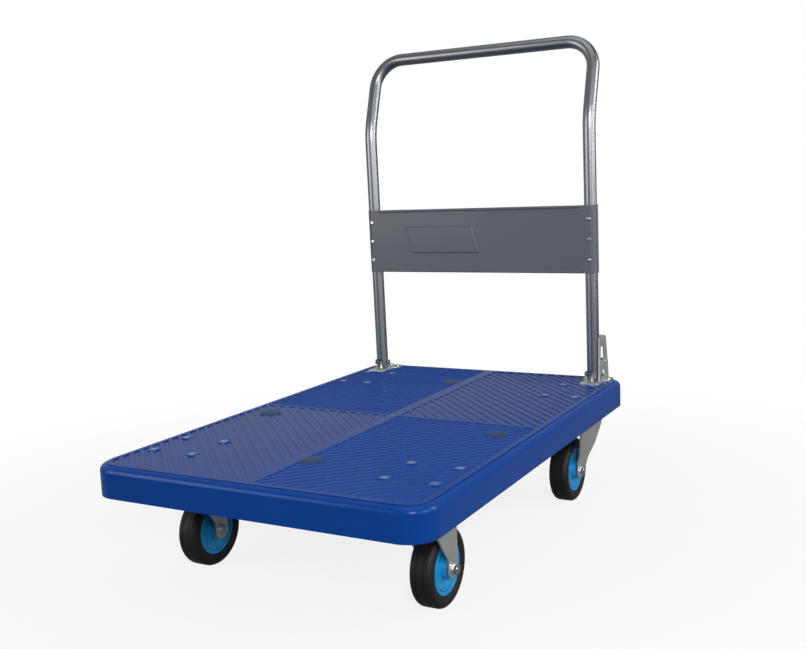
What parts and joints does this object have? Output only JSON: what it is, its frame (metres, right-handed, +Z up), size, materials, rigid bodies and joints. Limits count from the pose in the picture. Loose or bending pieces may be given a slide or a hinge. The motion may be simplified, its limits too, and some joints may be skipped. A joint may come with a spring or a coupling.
{
  "type": "folding platform cart",
  "caption": "Flat moulded platform on swivel and rigid casters, with a bent tube push handle that folds down over the deck.",
  "frame": {"origin": "on the floor, under the middle of the platform", "axes": "+X forward, away from the handle; +Y across the platform, to the right seen from the front with the handle behind; +Z up"},
  "size_m": [0.916, 0.6, 0.9185],
  "materials": {
    "deck_plastic": "glossy moulded plastic, ribbed on top",
    "cap_plastic": "glossy moulded plastic",
    "zinc_plate": "bright zinc-plated pressed steel",
    "plated_fastener": "bright plated steel",
    "handle_tube_finish": "satin plated steel tube",
    "panel_paint": "slate grey stove enamel",
    "tyre_rubber": "black solid rubber",
    "hub_plastic": "light blue moulded plastic",
    "bearing_steel": "turned steel",
    "spring_steel": "spring steel wire",
    "seal_rubber": "black rubber",
    "bush_nylon": "black nylon"
  },
  "bodies": {
    "platform": {"deck": "deck_plastic", "deck_ribs": "deck_plastic", "bolt_caps": "cap_plastic", "caster_bolts": "plated_fastener", "caster_nuts": "plated_fastener", "shoe_screws": "plated_fastener", "left_shoe": "zinc_plate", "right_shoe": "zinc_plate", "left_pivot_bolt": "plated_fastener", "right_pivot_bolt": "plated_fastener", "pivot_nuts": "plated_fastener", "lock_pin": "plated_fastener", "lock_spring": "spring_steel", "front_left_plate": "zinc_plate", "front_left_kingpin": "plated_fastener", "rear_left_fork": "zinc_plate", "rear_left_axle": "plated_fastener", "rear_left_axle_nut": "plated_fastener", "rear_left_spacers": "bearing_steel", "front_right_plate": "zinc_plate", "front_right_kingpin": "plated_fastener", "rear_right_fork": "zinc_plate", "rear_right_axle": "plated_fastener", "rear_right_axle_nut": "plated_fastener", "rear_right_spacers": "bearing_steel"},
    "front_left_swivel": {"front_left_fork": "zinc_plate", "front_left_ball_ring": "bearing_steel", "front_left_dust_seal": "seal_rubber", "front_left_axle": "plated_fastener", "front_left_axle_nut": "plated_fastener", "front_left_spacers": "bearing_steel"},
    "front_right_swivel": {"front_right_fork": "zinc_plate", "front_right_ball_ring": "bearing_steel", "front_right_dust_seal": "seal_rubber", "front_right_axle": "plated_fastener", "front_right_axle_nut": "plated_fastener", "front_right_spacers": "bearing_steel"},
    "front_left_wheel": {"front_left_tyre": "tyre_rubber", "front_left_hub": "hub_plastic", "front_left_bearings": "bearing_steel"},
    "front_right_wheel": {"front_right_tyre": "tyre_rubber", "front_right_hub": "hub_plastic", "front_right_bearings": "bearing_steel"},
    "rear_left_wheel": {"rear_left_tyre": "tyre_rubber", "rear_left_hub": "hub_plastic", "rear_left_bearings": "bearing_steel"},
    "rear_right_wheel": {"rear_right_tyre": "tyre_rubber", "rear_right_hub": "hub_plastic", "rear_right_bearings": "bearing_steel"},
    "handle": {"handle_tube": "handle_tube_finish", "pivot_bushes": "bush_nylon", "handle_panel": "panel_paint", "panel_rivets": "plated_fastener", "lock_striker": "zinc_plate"},
    "pawl": {"lock_pawl": "zinc_plate"}
  },
  "joints": [
    {"name": "front_left_swivel_turn", "type": "hinge", "parent": "platform", "child": "front_left_swivel", "pos_m": [0.307, -0.2205, 0.154], "axis": [0, 0, 1], "continuous": true},
    {"name": "front_left_wheel_spin", "type": "hinge", "parent": "front_left_swivel", "child": "front_left_wheel", "pos_m": [0.27, -0.2205, 0.0625], "axis": [0, 1, 0], "continuous": true},
    {"name": "rear_left_wheel_spin", "type": "hinge", "parent": "platform", "child": "rear_left_wheel", "pos_m": [-0.285, -0.232, 0.0625], "axis": [0, 1, 0], "continuous": true},
    {"name": "front_right_swivel_turn", "type": "hinge", "parent": "platform", "child": "front_right_swivel", "pos_m": [0.307, 0.2205, 0.154], "axis": [0, 0, 1], "continuous": true},
    {"name": "front_right_wheel_spin", "type": "hinge", "parent": "front_right_swivel", "child": "front_right_wheel", "pos_m": [0.27, 0.2205, 0.0625], "axis": [0, 1, 0], "continuous": true},
    {"name": "rear_right_wheel_spin", "type": "hinge", "parent": "platform", "child": "rear_right_wheel", "pos_m": [-0.285, 0.232, 0.0625], "axis": [0, 1, 0], "continuous": true},
    {"name": "handle_fold", "type": "hinge", "parent": "platform", "child": "handle", "pos_m": [-0.398, 0, 0.233], "axis": [0, 1, 0], "range_deg": [0, 87]},
    {"name": "lock_pawl_lift", "type": "hinge", "parent": "platform", "child": "pawl", "pos_m": [-0.433, 0.25, 0.256], "axis": [0, -1, 0], "range_deg": [-35, 4], "stiffness_Nm_per_rad": 0.03}
  ]
}
